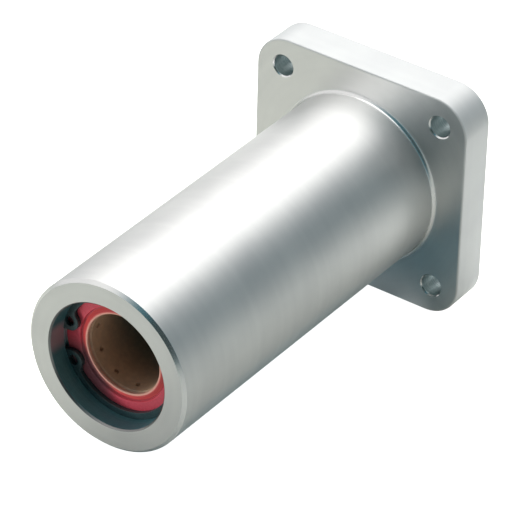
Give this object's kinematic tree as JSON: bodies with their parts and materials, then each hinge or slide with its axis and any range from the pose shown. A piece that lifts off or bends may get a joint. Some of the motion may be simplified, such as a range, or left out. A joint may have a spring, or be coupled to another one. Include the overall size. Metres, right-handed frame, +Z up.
{
  "type": "linear plain bearing",
  "caption": "Flanged linear plain bearing: long round aluminium housing with a square flange, lined bore, wiper seals and internal retaining rings.",
  "frame": {"origin": "where the bore's axis meets the tube-side face of the flange, at the middle of the bolt holes", "axes": "-Y along the bore towards the tube's free end, +Z up, flange sides parallel to X and Z"},
  "size_m": [0.06, 0.109, 0.06],
  "materials": {
    "housing_aluminium": "satin, clear anodised",
    "sleeve_aluminium": "turned",
    "ring_steel": "black phosphated spring steel",
    "wiper_rubber": "smooth red moulding",
    "liner_composite": "brown sliding composite"
  },
  "bodies": {
    "root": {"housing": "housing_aluminium", "front_retaining_ring": "ring_steel", "rear_retaining_ring": "ring_steel", "front_wiper_seal": "wiper_rubber", "rear_wiper_seal": "wiper_rubber", "front_bearing_sleeve": "sleeve_aluminium", "rear_bearing_sleeve": "sleeve_aluminium", "front_liner": "liner_composite", "rear_liner": "liner_composite"}
  },
  "joints": []
}
